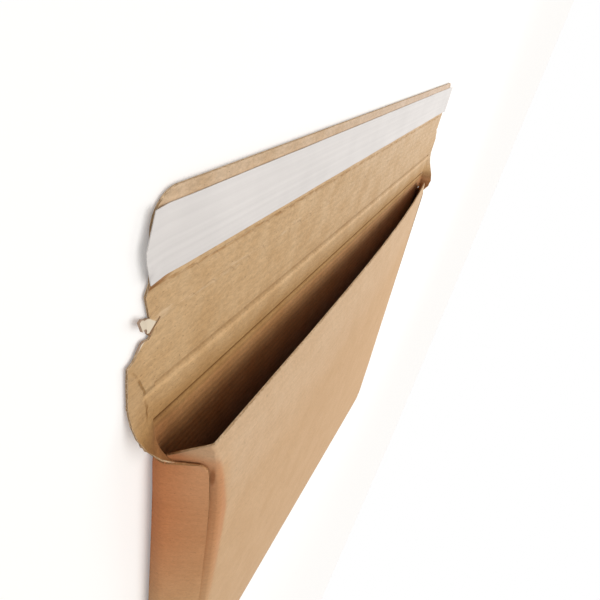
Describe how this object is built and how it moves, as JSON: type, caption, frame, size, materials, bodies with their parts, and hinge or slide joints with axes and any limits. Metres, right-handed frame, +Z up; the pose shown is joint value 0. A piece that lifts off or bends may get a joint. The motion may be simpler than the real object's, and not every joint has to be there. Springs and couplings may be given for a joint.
{
  "type": "rigid cardboard envelope",
  "caption": "Stiff corrugated board mailing envelope with its mouth open, a long peel-and-seal flap, tear lines with a pull tab, and side tabs glued over the front panel.",
  "frame": {"origin": "on the floor under the middle of the object's box; the back panel lies on the floor", "axes": "+X along the mouth, +Y from the closed end towards the flap's free edge, +Z up through the back panel and the front panel"},
  "size_m": [0.369, 0.323, 0.024],
  "materials": {
    "kraft_board": "matte kraft liner over fine flutes",
    "adhesive": "tacky hot-melt film",
    "liner_paper": "satin white silicone paper"
  },
  "bodies": {
    "root": {"board": "kraft_board", "adhesive_strip": "adhesive", "release_liner": "liner_paper"}
  },
  "joints": []
}
